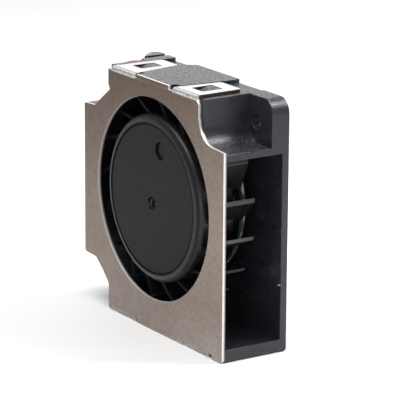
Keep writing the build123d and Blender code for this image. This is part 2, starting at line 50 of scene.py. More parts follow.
ROTOR = "rotor"


def P(x, d, z):
    """x from the left edge, d from the front, z from the bottom, in mm -> the frame, in metres."""
    return Vector(((x - 25.5) * MM, (d - 7.5) * MM, z * MM))


AXIS = P(25.4, 0, 26.9)


# ------------------------------------------------------------------ camera
def make_camera():
    az, el, roll = math.radians(56.558), math.radians(15.535), math.radians(0.47)
    back = Vector((math.sin(az) * math.cos(el), -math.cos(az) * math.cos(el), math.sin(el)))
    right = Vector((0, 0, 1)).cross(back).normalized()
    up = back.cross(right)
    right2 = right * math.cos(roll) + up * math.sin(roll)
    up2 = up * math.cos(roll) - right * math.sin(roll)
    place = Vector((0.0, 0.0, 0.0255)) + (right2 * 4.919 - up2 * 1.428 + back * 528.495) * MM
    cam = bpy.data.cameras.new("camera")
    cam.sensor_width = 36.0
    cam.lens = 36.0 * 2664.419 / 416.0
    cam.clip_start, cam.clip_end = 0.01, 20.0
    obj = bpy.data.objects.new("camera", cam)
    obj.matrix_world = Matrix((
        (right2.x, up2.x, back.x, place.x),
        (right2.y, up2.y, back.y, place.y),
        (right2.z, up2.z, back.z, place.z),
        (0, 0, 0, 1)))
    SCENE.collection.objects.link(obj)
    SCENE.camera = obj


make_camera()


# ------------------------------------------------------------------ materials
class Mat:
    """A node material with short ways to add nodes."""

    def __init__(self, name):
        self.m = bpy.data.materials.new(name)
        self.m.use_nodes = True
        self.nt = self.m.node_tree
        self.n = self.nt.nodes
        self.bsdf = next(x for x in self.n if x.type == "BSDF_PRINCIPLED")
        self._coord = None

    def node(self, kind, inputs=None, **attrs):
        x = self.n.new(kind)
        for k, v in attrs.items():
            setattr(x, k, v)
        for k, v in (inputs or {}).items():
            if hasattr(v, "is_output") or isinstance(v, bpy.types.NodeSocket):
                self.nt.links.new(v, x.inputs[k])
            else:
                x.inputs[k].default_value = v
        return x

    def set(self, name, v):
        if isinstance(v, bpy.types.NodeSocket):
            self.nt.links.new(v, self.bsdf.inputs[name])
        else:
            self.bsdf.inputs[name].default_value = v

    @property
    def coord(self):
        """Object coordinates: the row frame in metres."""
        if self._coord is None:
            self._coord = self.node("ShaderNodeTexCoord").outputs["Object"]
        return self._coord

    def scaled(self, sx, sy, sz):
        return self.node("ShaderNodeMapping", {"Vector": self.coord, "Scale": (sx, sy, sz)}).outputs["Vector"]

    def noise(self, scale, detail=3.0, rough=0.5, vec=None, dist=0.0):
        return self.node("ShaderNodeTexNoise", {"Vector": vec or self.coord, "Scale": scale, "Detail": detail,
                                                "Roughness": rough, "Distortion": dist}).outputs["Fac"]

    def voronoi(self, scale, feature="F1", vec=None, out="Distance"):
        return self.node("ShaderNodeTexVoronoi", {"Vector": vec or self.coord, "Scale": scale},
                         feature=feature).outputs[out]

    def ramp(self, fac, stops, interp="LINEAR"):
        x = self.node("ShaderNodeValToRGB", {"Fac": fac})
        x.color_ramp.interpolation = interp
        els = x.color_ramp.elements
        while len(els) < len(stops):
            els.new(0.5)
        for e, (pos, col) in zip(els, stops):
            e.position = pos
            e.color = col if len(col) == 4 else (*col, 1.0)
        return x.outputs["Color"]

    def maprange(self, v, a, b, c, d):
        return self.node("ShaderNodeMapRange", {"Value": v, "From Min": a, "From Max": b, "To Min": c,
                                                "To Max": d}).outputs["Result"]

    def mix(self, fac, a, b, blend="MIX"):
        x = self.node("ShaderNodeMix", data_type="RGBA", blend_type=blend)
        for key, v in ((0, fac), (6, a), (7, b)):
            if isinstance(v, bpy.types.NodeSocket):
                self.nt.links.new(v, x.inputs[key])
            else:
                x.inputs[key].default_value = v if key == 0 or len(v) == 4 else (*v, 1.0)
        return x.outputs[2]

    def math(self, op, a, b=0.0, c=0.0):
        x = self.node("ShaderNodeMath", operation=op)
        for i, v in enumerate((a, b, c)):
            if isinstance(v, bpy.types.NodeSocket):
                self.nt.links.new(v, x.inputs[i])
            elif i < len(x.inputs):
                x.inputs[i].default_value = v
        return x.outputs[0]

    def bump(self, height, distance_mm, strength=1.0, normal=None):
        ins = {"Height": height, "Distance": distance_mm * MM, "Strength": strength}
        if normal is not None:
            ins["Normal"] = normal
        return self.node("ShaderNodeBump", ins).outputs["Normal"]


def textured_plastic(name, base, light, grain=3600.0, depth=0.026, rough=(0.27, 0.38), spec=0.5, glint_speck=0.22):
    """Moulded black plastic with a fine spark-eroded texture."""
    m = Mat(name)
    fine = m.noise(grain, 2.0, 0.6)
    cell = m.voronoi(grain * 0.55)
    broad = m.noise(140.0, 3.0, 0.55)
    col = m.ramp(broad, [(0.3, base), (0.75, light)])
    # painted glints: bright specks mixed into the colour stand in for light sparkling off the grain
    glint_dots = m.ramp(m.noise(grain * 0.75, 2.0, 0.65), [(0.54, (0, 0, 0)), (0.66, (1, 1, 1))])
    col = m.mix(m.math("MULTIPLY", glint_dots, glint_speck), col, tuple(min(1.0, c * 4.0 + 0.02) for c in light))
    # painted highlight: the grain shows most on faces that lie flat under the light, and not on the scroll's floor, as
    # pale pits painted into the colour there; the pits are also less specular
    geo = m.node("ShaderNodeNewGeometry").outputs
    up = m.maprange(m.node("ShaderNodeSeparateXYZ", {"Vector": geo["True Normal"]}).outputs["Z"], 0.6, 0.95, 0.0, 1.0)
    height = m.node("ShaderNodeSeparateXYZ", {"Vector": m.coord}).outputs["Z"]
    up = m.math("MULTIPLY", up, m.maprange(height, 8.0 * MM, 12.0 * MM, 0.0, 1.0))
    pit = m.noise(grain * 0.72, 2.0, 0.7)
    col = m.mix(m.math("MULTIPLY", up, m.maprange(pit, 0.50, 0.62, 0.0, 0.9)), col, (0.112, 0.112, 0.122))
    m.set("Base Color", col)
    r = m.math("ADD", m.maprange(m.noise(900.0, 2.0), 0.3, 0.7, rough[0], rough[1]),
               m.maprange(m.noise(55.0, 3.0, 0.6), 0.3, 0.7, -0.03, 0.05))
    m.set("Roughness", r)
    h = m.math("ADD", m.math("MULTIPLY", fine, 0.9), m.math("MULTIPLY", cell, 0.2))
    h = m.math("ADD", h, m.math("MULTIPLY", m.noise(grain * 0.58, 1.0, 0.5), 1.9))
    m.set("Normal", m.bump(h, depth, 1.0))
    m.set("Specular IOR Level", m.math("MULTIPLY", m.math("SUBTRACT", 1.0, m.math(
        "MULTIPLY", up, m.maprange(pit, 0.50, 0.40, 0.0, 0.6))), spec))
    return m.m


def rotor_plastic(name):
    """Smoother moulded plastic: satin hub face, rough gate mark in its middle, a dull moulding
    line at its edge, dull blade fronts, blade tips painted paler as a painted highlight, and painted glint specks."""
    m = Mat(name)
    geo = m.node("ShaderNodeNewGeometry").outputs
    ny = m.node("ShaderNodeSeparateXYZ", {"Vector": geo["True Normal"]}).outputs["Y"]
    sep = m.node("ShaderNodeSeparateXYZ", {"Vector": m.coord}).outputs
    rx, rz = m.math("SUBTRACT", sep["X"], AXIS.x), m.math("SUBTRACT", sep["Z"], AXIS.z)
    r2 = m.math("SQRT", m.math("ADD", m.math("MULTIPLY", rx, rx), m.math("MULTIPLY", rz, rz)))
    fine = m.noise(3200.0, 2.0, 0.6)
    cell = m.voronoi(1900.0)
    col = m.ramp(m.noise(140.0, 3.0, 0.55), [(0.3, (0.0050, 0.0048, 0.0058)), (0.75, (0.0068, 0.0066, 0.0078))])
    # painted glints: bright specks mixed into the colour, strongest outside the hub face, stand in for light sparkling
    # off the rim's grain
    glint_dots = m.ramp(m.noise(2100.0, 2.0, 0.65), [(0.56, (0, 0, 0)), (0.70, (1, 1, 1))])
    skirt = m.maprange(r2, 15.0 * MM, 15.6 * MM, 0.0, 1.0)
    col = m.mix(m.math("MULTIPLY", glint_dots, m.maprange(skirt, 0.0, 1.0, 0.10, 0.55)), col, (0.034, 0.034, 0.038))
    # the gate mark
    rag = m.noise(1500.0, 3.0, 0.7)
    gx, gz = m.math("ADD", rx, 0.1 * MM), m.math("ADD", rz, 0.9 * MM)
    rg = m.math("SQRT", m.math("ADD", m.math("MULTIPLY", gx, gx), m.math("MULTIPLY", gz, gz)))
    mark = m.maprange(m.math("ADD", rg, m.math("MULTIPLY", rag, 0.0012)), 2.15 * MM, 1.75 * MM, 0.0, 1.0)
    pale = m.math("MULTIPLY", mark, m.maprange(rag, 0.50, 0.58, 0.0, 0.9))
    dark = m.math("MULTIPLY", mark, m.maprange(rag, 0.49, 0.42, 0.0, 1.0))
    col = m.mix(pale, col, (0.060, 0.060, 0.065))
    col = m.mix(dark, col, (0.0012, 0.0012, 0.0015))
    # painted highlight: the blade tips are painted paler, standing in for the light they catch
    tip_highlight = m.maprange(m.math("ADD", r2, m.math("MULTIPLY", fine, 0.0001)), 20.86 * MM, 20.96 * MM, 0.0, 1.0)
    col = m.mix(m.math("MULTIPLY", tip_highlight, 0.8), col, (0.085, 0.086, 0.093))
    m.set("Base Color", col)
    front = m.math("MULTIPLY", m.maprange(ny, -0.5, -0.8, 0.0, 1.0), m.maprange(r2, 15.9 * MM, 16.5 * MM, 0.0, 1.0))
    line = m.math("MULTIPLY", m.maprange(r2, 14.70 * MM, 14.84 * MM, 0.0, 1.0),
                  m.maprange(r2, 15.45 * MM, 15.15 * MM, 0.0, 1.0))
    shade = m.math("MAXIMUM", m.math("MULTIPLY", front, 0.9), m.math("MULTIPLY", line, 0.85))
    shade = m.math("MAXIMUM", shade, m.math("MULTIPLY", dark, 0.95))
    m.set("Specular IOR Level", m.math("MULTIPLY", m.maprange(skirt, 0.0, 1.0, HUB_SPEC, 0.42),
                                       m.math("SUBTRACT", 1.0, shade)))
    r = m.math("ADD", m.maprange(m.noise(900.0, 2.0), 0.3, 0.7, 0.32, 0.42), m.math("MULTIPLY", shade, 0.2))
    m.set("Roughness", m.math("ADD", r, m.math("MULTIPLY", mark, 0.1)))
    h = m.math("ADD", m.math("MULTIPLY", fine, 0.7), m.math("MULTIPLY", cell, 0.6))
    h = m.math("MULTIPLY", h, m.maprange(skirt, 0.0, 1.0, 0.25, 1.3))
    h = m.math("ADD", h, m.math("MULTIPLY", m.math("MULTIPLY", rag, mark), 9.0))
    m.set("Normal", m.bump(h, 0.018, 1.0))
    return m.m


HUB_SPEC = 0.085


def sheet_steel(name):
    """Zinc-coated sheet: warm satin faces with a fine grain, sheared bright edges, and fine
    stretch lines where the tabs are bent."""
    m = Mat(name)
    geo = m.node("ShaderNodeNewGeometry").outputs
    nor = m.node("ShaderNodeSeparateXYZ", {"Vector": geo["True Normal"]}).outputs
    pos = m.node("ShaderNodeSeparateXYZ", {"Vector": m.coord}).outputs
    grain = m.noise(3600.0, 3.0, 0.75)
    mottle = m.noise(1150.0, 3.0, 0.65)
    patches = m.noise(120.0, 4.0, 0.6)
    rolled = m.noise(1.0, 3.0, 0.65, vec=m.scaled(260.0, 260.0, 5200.0))
    c = m.ramp(patches, [(0.3, STEEL_DARK), (0.72, STEEL_LIGHT)])
    c = m.mix(m.maprange(grain, 0.36, 0.70, 0.0, 0.8), c, STEEL_GRAIN)
    c = m.mix(m.maprange(mottle, 0.42, 0.72, 0.0, 0.42), c, STEEL_DEEP)
    # painted reflection: the sheet is painted lighter low down and darker and warmer towards the top edge, standing in
    # for the bright floor's reflection fading with height
    height = m.math("ADD", pos["Z"], m.math("MULTIPLY", m.noise(40.0, 2.0), 0.012))
    painted_floor_reflection = m.ramp(m.maprange(height, 6.0 * MM, 56.0 * MM, 0.0, 1.0),
                     [(0.0, PAINTED_REFLECTION_LOW), (0.22, PAINTED_REFLECTION_MID), (0.5, tuple(0.96 * c for c in PAINTED_REFLECTION_MID)), (1.0, PAINTED_REFLECTION_HIGH)])
    c = m.mix(1.0, c, painted_floor_reflection, "MULTIPLY")
    # painted sheen: the sheet is painted lighter towards +X
    painted_sheen_across = m.maprange(m.math("ADD", pos["X"], m.math("MULTIPLY", m.noise(55.0, 2.0), 0.010)),
                        -22.0 * MM, 28.0 * MM, 0.0, 1.0)
    c = m.mix(1.0, c, m.ramp(painted_sheen_across, [(0.0, (0.76, 0.74, 0.725)), (0.65, (0.88, 0.87, 0.865)), (1.0, (1.05, 1.05, 1.06))]),
              "MULTIPLY")
    # painted highlight: up- and down-facing tab faces are painted lighter, standing in for the light the tab tops
    # reflect
    painted_tab_sheen = m.maprange(m.math("ABSOLUTE", nor["Z"]), 0.45, 0.9, 0.0, 1.0)
    c = m.mix(m.math("MULTIPLY", painted_tab_sheen, 0.88), c, (0.86, 0.85, 0.855))
    # the bends: a painted highlight of bright streaks, with dull stretch specks between them
    far = m.math("ABSOLUTE", m.math("SUBTRACT", pos["Z"], 25.5 * MM))
    fold = m.math("MULTIPLY", m.maprange(pos["Y"], -6.2 * MM, -7.0 * MM, 0.0, 1.0),
                  m.maprange(far, 24.35 * MM, 24.75 * MM, 0.0, 1.0))
    fold = m.math("MULTIPLY", fold, m.maprange(m.math("ABSOLUTE", nor["X"]), 0.3, 0.6, 1.0, 0.0))
    off = m.math("MINIMUM", m.math("ABSOLUTE", m.math("ADD", pos["X"], 10.75 * MM)),
                 m.math("ABSOLUTE", m.math("SUBTRACT", pos["X"], 11.75 * MM)))
    fold = m.math("MULTIPLY", fold, m.maprange(off, 4.15 * MM, 4.45 * MM, 1.0, 0.0))
    # the painted highlight is weak on the bottom bends
    fold = m.math("MULTIPLY", fold, m.maprange(pos["Z"], 20.0 * MM, 30.0 * MM, 0.12, 1.0))
    streak = m.noise(1.0, 4.0, 0.75, vec=m.scaled(3000.0, 1500.0, 1500.0))
    c = m.mix(m.math("MULTIPLY", fold, 0.75), c, (0.92, 0.905, 0.90))
    c = m.mix(m.math("MULTIPLY", fold, m.maprange(streak, 0.49, 0.60, 0.0, 0.9)), c, (0.20, 0.185, 0.175))
    # sheared edges: bright burnished band, darker torn band behind it
    side = m.maprange(m.math("ABSOLUTE", nor["Y"]), 0.80, 0.35, 0.0, 1.0)
    plate = m.math("LESS_THAN", pos["Y"], -6.74 * MM)
    torn = m.maprange(m.math("ADD", pos["Y"], m.math("MULTIPLY", m.noise(900.0, 2.0), 0.00012)),
                      -7.03 * MM, -6.94 * MM, 0.0, 1.0)
    edge = m.math("MULTIPLY", side, plate)
    edge_col = m.mix(torn, (0.74, 0.715, 0.695), (0.21, 0.195, 0.185))
    c = m.mix(edge, c, edge_col)
    m.set("Base Color", c)
    m.set("Metallic", m.maprange(edge, 0.0, 1.0, 1.0, 0.55))
    r = m.math("ADD", m.maprange(grain, 0.3, 0.7, 0.30, 0.46), m.maprange(patches, 0.3, 0.7, -0.03, 0.05))
    r = m.math("ADD", r, m.math("MULTIPLY", edge, 0.08))
    m.set("Roughness", r)
    # stretch lines, only on the bends
    bend = m.math("MULTIPLY", m.maprange(pos["Y"], -7.5 * MM, -6.6 * MM, 1.0, 0.0),
                  m.maprange(m.math("ABSOLUTE", m.math("SUBTRACT", pos["Z"], 25.5 * MM)), 24.55 * MM, 24.75 * MM, 0.0, 1.0))
    lines = m.noise(1.0, 4.0, 0.7, vec=m.scaled(2600.0, 500.0, 500.0))
    h = m.math("ADD", m.math("MULTIPLY", grain, 1.0), m.math("MULTIPLY", rolled, 0.35))
    h = m.math("ADD", h, m.math("MULTIPLY", m.math("MULTIPLY", lines, bend), 11.0))
    m.set("Normal", m.bump(h, 0.011, 1.0))
    return m.m


STEEL_DARK, STEEL_LIGHT = (0.30, 0.248, 0.212), (0.37, 0.318, 0.278)
STEEL_GRAIN, STEEL_DEEP = (0.56, 0.49, 0.435), (0.20, 0.162, 0.138)
PAINTED_REFLECTION_LOW, PAINTED_REFLECTION_MID, PAINTED_REFLECTION_HIGH = (0.97, 0.985, 1.01), (0.69, 0.665, 0.64), (0.41, 0.352, 0.315)


def metal(name, col, rough, scratch=0.3, grain=2500.0, ring=False):
    m = Mat(name)
    n = m.noise(grain, 3.0, 0.6)
    b = m.noise(300.0, 3.0, 0.5)
    m.set("Base Color", m.mix(m.maprange(b, 0.3, 0.7, 0.0, 0.5), col, tuple(c * 0.82 for c in col)))
    m.set("Metallic", 1.0)
    m.set("Roughness", m.maprange(n, 0.3, 0.7, max(0.05, rough - 0.07), rough + 0.07))
    m.set("Normal", m.bump(n, 0.006, scratch))
    return m.m


def dull(name, col, rough=0.6, grain=1800.0, depth=0.01, spec=0.4, var=0.25):
    m = Mat(name)
    n = m.noise(grain, 3.0, 0.6)
    b = m.noise(260.0, 3.0, 0.5)
    m.set("Base Color", m.mix(m.maprange(b, 0.3, 0.7, 0.0, 1.0), col, tuple(c * (1.0 - var) for c in col)))
    m.set("Roughness", m.maprange(n, 0.3, 0.7, rough - 0.08, rough + 0.08))
    m.set("Normal", m.bump(n, depth, 0.6))
    m.set("Specular IOR Level", spec)
    return m.m


def insulation(name, col, dark):
    """Soft PVC wire insulation: slight waviness along the wire and fine scuffs."""
    m = Mat(name)
    n = m.noise(1500.0, 3.0, 0.6)
    b = m.noise(420.0, 2.0, 0.5)
    m.set("Base Color", m.mix(m.maprange(b, 0.3, 0.7, 0.0, 0.6), col, dark))
    m.set("Roughness", m.maprange(n, 0.3, 0.7, 0.28, 0.46))
    m.set("Normal", m.bump(m.math("ADD", n, b), 0.012, 0.5))
    m.set("Specular IOR Level", 0.5)
    return m.m


MATS = {
    "housing_plastic": textured_plastic("housing_plastic", (0.0100, 0.0107, 0.0148), (0.0142, 0.0150, 0.0200)),
    "rotor_plastic": rotor_plastic("rotor_plastic"),
    "cover_steel": sheet_steel("cover_steel"),
    "drawn_steel": metal("drawn_steel", (0.42, 0.42, 0.43), 0.32),
    "magnet": dull("magnet", (0.035, 0.032, 0.031), 0.7),
    "brass": metal("brass", (0.72, 0.52, 0.22), 0.25),
    "shaft_steel": metal("shaft_steel", (0.62, 0.62, 0.63), 0.14, 0.1),
    "nylon": dull("nylon", (0.66, 0.63, 0.55), 0.5),
    "bearing_bronze": metal("bearing_bronze", (0.40, 0.27, 0.13), 0.45, 0.8, 5200.0),
    "insulator_plastic": dull("insulator_plastic", (0.03, 0.03, 0.03), 0.5),
    "tinned_metal": metal("tinned_metal", (0.66, 0.65, 0.62), 0.3),
    "chip_epoxy": dull("chip_epoxy", (0.014, 0.014, 0.014), 0.55, 3500.0),
    "chip_ceramic": dull("chip_ceramic", (0.32, 0.21, 0.12), 0.4),
    "solder": metal("solder", (0.62, 0.62, 0.60), 0.22),
    "lead_red_pvc": insulation("lead_red_pvc", (0.42, 0.012, 0.010), (0.26, 0.006, 0.006)),
    "lead_black_pvc": insulation("lead_black_pvc", (0.016, 0.016, 0.017), (0.009, 0.009, 0.009)),
    "plug_nylon": dull("plug_nylon", (0.70, 0.67, 0.58), 0.42, 1200.0, 0.008, 0.5, 0.1),
}


def lamination():
    """Edges of 0.5 mm sheets, seen as fine lines round the stack."""
    m = Mat("lamination_steel")
    y = m.node("ShaderNodeSeparateXYZ", {"Vector": m.coord}).outputs["Y"]
    s = m.math("FRACT", m.math("MULTIPLY", y, 2000.0))
    line = m.math("LESS_THAN", m.math("ABSOLUTE", m.math("SUBTRACT", s, 0.4)), 0.07)
    n = m.noise(2500.0, 3.0, 0.6)
    m.set("Base Color", m.mix(line, (0.34, 0.34, 0.35), (0.06, 0.06, 0.06)))
    m.set("Metallic", 0.9)
    m.set("Roughness", m.maprange(n, 0.3, 0.7, 0.35, 0.55))
    m.set("Normal", m.bump(n, 0.006, 0.4))
    return m.m


def enamelled():
    """Turns of enamelled wire, 0.13 mm apart."""
    m = Mat("enamelled_copper")
    sep = m.node("ShaderNodeSeparateXYZ", {"Vector": m.coord}).outputs
    r2 = m.math("ADD", m.math("ABSOLUTE", m.math("SUBTRACT", sep["X"], AXIS.x)),
                m.math("ABSOLUTE", m.math("SUBTRACT", sep["Z"], AXIS.z)))
    wave = m.math("SINE", m.math("MULTIPLY", r2, 2 * math.pi / (0.13 * MM)))
    n = m.noise(900.0, 3.0, 0.6)
    m.set("Base Color", m.mix(m.maprange(n, 0.3, 0.7, 0.0, 1.0), (0.46, 0.15, 0.045), (0.30, 0.09, 0.03)))
    m.set("Metallic", 0.85)
    m.set("Roughness", m.maprange(n, 0.3, 0.7, 0.25, 0.4))
    m.set("Normal", m.bump(wave, 0.03, 0.8))
    return m.m


def board():
    """Green solder mask with copper tracks showing through, and a pale glass-fibre edge; elsewhere the edge is painted
    darker as painted shade.
    """
    m = Mat("board")
    geo = m.node("ShaderNodeNewGeometry").outputs
    nor = m.node("ShaderNodeSeparateXYZ", {"Vector": geo["True Normal"]}).outputs
    n = m.noise(1400.0, 3.0, 0.6)
    b = m.noise(260.0, 3.0, 0.5)
    sep = m.node("ShaderNodeSeparateXYZ", {"Vector": m.coord}).outputs
    rx, rz = m.math("SUBTRACT", sep["X"], AXIS.x), m.math("SUBTRACT", sep["Z"], AXIS.z)
    r2 = m.math("SQRT", m.math("ADD", m.math("MULTIPLY", rx, rx), m.math("MULTIPLY", rz, rz)))
    ring = m.math("FRACT", m.math("MULTIPLY", r2, 420.0))
    track = m.math("MULTIPLY", m.math("LESS_THAN", ring, 0.38), m.math("GREATER_THAN", m.noise(95.0, 0.0), 0.5))
    face = m.mix(m.maprange(b, 0.3, 0.7, 0.0, 1.0), (0.006, 0.040, 0.019), (0.005, 0.028, 0.014))
    face = m.mix(m.math("MULTIPLY", track, 0.6), face, (0.016, 0.085, 0.036))
    fibre = m.noise(1.0, 3.0, 0.6, vec=m.scaled(500.0, 6000.0, 500.0))
    rim = m.mix(m.maprange(fibre, 0.35, 0.65, 0.0, 1.0), (0.62, 0.66, 0.56), (0.24, 0.30, 0.23))
    edge = m.maprange(m.math("ABSOLUTE", nor["Y"]), 0.75, 0.35, 0.0, 1.0)
    worn = m.maprange(m.noise(330.0, 2.0), 0.44, 0.58, 0.12, 1.0)
    bare = m.maprange(m.math("ADD", sep["Y"], m.math("MULTIPLY", m.noise(700.0, 2.0), 0.0003)), 3.74 * MM, 3.86 * MM,
                      0.0, 1.0)
    # painted shade: the board's edge is painted a darker green than its face
    face = m.mix(m.math("MULTIPLY", edge, 0.7), face, (0.0015, 0.012, 0.0065))
    m.set("Base Color", m.mix(m.math("MULTIPLY", m.math("MULTIPLY", edge, bare), worn), face, rim))
    m.set("Roughness", m.math("ADD", m.maprange(n, 0.3, 0.7, 0.28, 0.42), m.math("MULTIPLY", edge, 0.3)))
    m.set("Normal", m.bump(m.math("ADD", n, m.math("MULTIPLY", track, 1.5)), 0.010, 0.6))
    m.set("Specular IOR Level", 0.5)
    return m.m


MATS["board"] = board()
MATS["lamination_steel"] = lamination()
MATS["enamelled_copper"] = enamelled()

SLOT_OF = {s["node"]: s["material_slot"] for s in frame["record"]["subparts"]}
for node_name, node in NODES.items():
    node.data.materials.clear()
    node.data.materials.append(MATS[SLOT_OF[node_name]])


# ------------------------------------------------------------------ rounded edges
def self_cuts(me):
    """Where a mesh runs through itself."""
    bm = bmesh.new()
    bm.from_mesh(me)
    bmesh.ops.remove_doubles(bm, verts=bm.verts, dist=2e-7)
    bmesh.ops.triangulate(bm, faces=bm.faces)
    tree = BVHTree.FromBMesh(bm)
    bm.faces.ensure_lookup_table()
    out = []
    for a, b in tree.overlap(tree):
        if a < b and not {v.index for v in bm.faces[a].verts} & {v.index for v in bm.faces[b].verts}:
            out.append(bm.faces[a].calc_center_median())
            out.append(bm.faces[b].calc_center_median())
    bm.free()
    return out


def rounded(node_name, width, body, slot, sharp=28.0, segments=2):
    """A copy of a CAD node with its sharp edges rounded, less where the faces beside them are narrow."""
    name = node_name + "_finished"
    me = NODES[node_name].data.copy()
    me.name = name
    if "custom_normal" in me.attributes:
        me.attributes.remove(me.attributes["custom_normal"])
    bm = bmesh.new()
    bm.from_mesh(me)
    bmesh.ops.remove_doubles(bm, verts=bm.verts, dist=2e-7)
    bmesh.ops.dissolve_limit(bm, angle_limit=math.radians(0.6), verts=bm.verts, edges=bm.edges)
    layer = bm.edges.layers.float.get("bevel_weight_edge") or bm.edges.layers.float.new("bevel_weight_edge")
    bm.normal_update()
    bm.edges.index_update()
    lim = math.radians(sharp)
    keen = {e: e.is_manifold and e.calc_face_angle(0.0) > lim for e in bm.edges}
    weight = {}
    for f in bm.faces:
        loops = list(f.loops)
        n = len(loops)
        co = np.array([l.vert.co for l in loops])
        run = np.roll(co, -1, axis=0) - co
        ln = np.maximum(np.linalg.norm(run, axis=1), 1e-12)
        unit = run / ln[:, None]
        turn = np.degrees(np.arccos(np.clip((unit * np.roll(unit, 1, axis=0)).sum(1), -1, 1)))
        sh = [keen[l.edge] for l in loops]
        for i in range(n):
            if not sh[i]:
                continue
            t = np.clip(((co - co[i]) @ unit[i]) / ln[i], 0, 1)
            dist = np.linalg.norm(co - (co[i] + t[:, None] * run[i]), axis=1)
            far = np.ones(n, bool)
            far[i] = far[(i + 1) % n] = False
            k, acc = (i + 1) % n, 0.0
            while sh[k] and turn[k] < 25 and acc < 75 and k != i:
                acc += turn[k]
                k = (k + 1) % n
                far[k] = False
            k, acc = i, 0.0
            while sh[(k - 1) % n] and turn[k] < 25 and acc < 75 and (k - 1) % n != i:
                acc += turn[k]
                k = (k - 1) % n
                far[k] = False
            room = dist[far].min() if far.any() else 1.0
            e = loops[i].edge
            if not e.is_convex:
                continue
            weight[e] = min(weight.get(e, 1.0), 0.42 * room / (width * MM))
    ob = bpy.data.objects.new(name, me)
    SCENE.collection.objects.link(ob)
    mod = ob.modifiers.new("round", "BEVEL")
    mod.width = width * MM
    mod.segments = segments
    mod.limit_method = "WEIGHT"
    mod.use_clamp_overlap = False
    mod.miter_outer = "MITER_ARC"
    mod.harden_normals = True
    done = None
    for attempt in range(9):
        for _ in range(5):
            for e in weight:
                for v in e.verts:
                    for g in v.link_edges:
                        if g in weight and g is not e:
                            weight[e] = min(weight[e], weight[g] * 1.6 + 0.02)
        for e, x in weight.items():
            e[layer] = min(1.0, x) if x > 0.12 else 0.0
        for f in bm.faces:
            f.smooth = True
        bm.to_mesh(me)
        me.set_sharp_from_angle(angle=lim)
        me.update()
        new = bpy.data.meshes.new_from_object(ob.evaluated_get(bpy.context.evaluated_depsgraph_get()))
        cuts = self_cuts(new)
        if done is not None:
            bpy.data.meshes.remove(done)
        done = new
        if not cuts:
            break
        for e in weight:
            a, b = e.verts[0].co, e.verts[1].co
            for c in cuts:
                ab = b - a
                t = max(0.0, min(1.0, (c - a).dot(ab) / max(ab.length_squared, 1e-18)))
                if (c - (a + ab * t)).length < 0.30 * MM:
                    weight[e] *= 0.5 if attempt < 4 else 0.1
                    break
    bm.free()
    ob.modifiers.clear()
    ob.data = done
    done.name = name
    bpy.data.meshes.remove(me)
    ob.data.materials.clear()
    ob.data.materials.append(MATS[slot])
    print("rounded", node_name, "rounds", attempt + 1, "cuts left", len(cuts), "faces", len(done.polygons))
    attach(ob, body)
    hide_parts(node_name)
    return ob


rounded("housing", 0.15, BODY, "housing_plastic")
rounded("cover_plate", 0.07, BODY, "cover_steel")
rounded("impeller", 0.11, ROTOR, "rotor_plastic", sharp=19.0)
PLUG = rounded("plug_housing", 0.12, BODY, "plug_nylon")


# ------------------------------------------------------------------ leads
RED_ROUTE = [(5.2, 11.0, 43.4), (5.2, 8.2, 43.22), (5.28, 5.2, 43.4), (5.8, 3.2, 44.7), (6.7, 2.42, 46.9),
             (7.6, 3.12, 49.0), (8.08, 5.05, 50.28), (7.95, 7.45, 50.2), (7.7, 9.8, 49.85), (7.5, 12.1, 49.7), (7.5, 14.5, 49.55),
             (7.5, 17.1, 48.7), (7.5, 19.2, 46.3), (7.75, 20.3, 41.3), (8.9, 20.5, 33.5), (10.9, 20.5, 23.6), (12.4, 20.2, 15.2),
             (12.7, 20.0, 9.0), (11.7, 19.85, 4.5), (9.5, 19.8, 1.7), (6.5, 19.7, 0.56)]
BLACK_ROUTE = [(3.9, 11.0, 42.8), (3.9, 8.5, 42.67), (3.9, 6.05, 42.53), (4.25, 4.15, 43.75), (4.95, 3.45, 45.95),
               (5.85, 4.05, 48.05), (6.6, 5.95, 49.35), (7.1, 8.4, 49.15), (7.45, 10.7, 48.5), (7.5, 13.2, 48.25),
               (7.5, 15.7, 47.8), (7.4, 17.6, 46.1), (7.35, 18.6, 43.2), (7.5, 18.95, 38.8), (8.2, 19.05, 32.4), (9.7, 18.95, 23.9),
               (11.4, 18.75, 16.4), (12.2, 18.85, 11.2), (11.3, 19.15, 6.9), (9.4, 19.5, 4.1), (6.7, 19.7, 2.8)]
RED_TAIL = [(4.5, 31.3, 2.24), (6.6, 31.3, 2.2), (8.7, 30.95, 2.1), (10.7, 30.2, 2.2), (12.48, 30.04, 2.3)]
BLACK_TAIL = [(4.5, 31.3, 4.5), (6.6, 31.35, 4.3), (8.6, 31.9, 3.4), (10.6, 32.55, 2.45), (12.5, 32.56, 2.3)]


def coil_points(z0, turns=1.5, per_turn=14, pitch=1.12):
    """The put-away turns, wound clockwise as seen from above about (4.5, 25.5), each on the one before."""
    out = []
    n = int(turns * per_turn)
    r = 5.8 / math.cos(math.pi / per_turn)
    for i in range(n):
        t = (i + 0.5) / per_turn
        a = math.radians(-90.0 - 360.0 * t)
        out.append((4.5 + r * math.cos(a), 25.5 + r * math.sin(a), z0 + pitch * t))
    return out


def lead(name, route, coil, tail, slot):
    pts = route + coil + tail[1:]
    cu = bpy.data.curves.new(name, "CURVE")
    cu.dimensions = "3D"
    sp = cu.splines.new("NURBS")
    sp.points.add(len(pts) - 1)
    for q, p in zip(sp.points, pts):
        q.co = (*P(*p), 1.0)
        q.radius = 0.55 * MM
    sp.order_u = 3
    sp.use_endpoint_u = True
    sp.resolution_u = 8
    cu.bevel_depth = 1.0
    cu.bevel_resolution = 4
    cu.use_fill_caps = True
    cu.materials.append(MATS[slot])
    ob = bpy.data.objects.new(name, cu)
    SCENE.collection.objects.link(ob)
    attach(ob, BODY)
    return ob


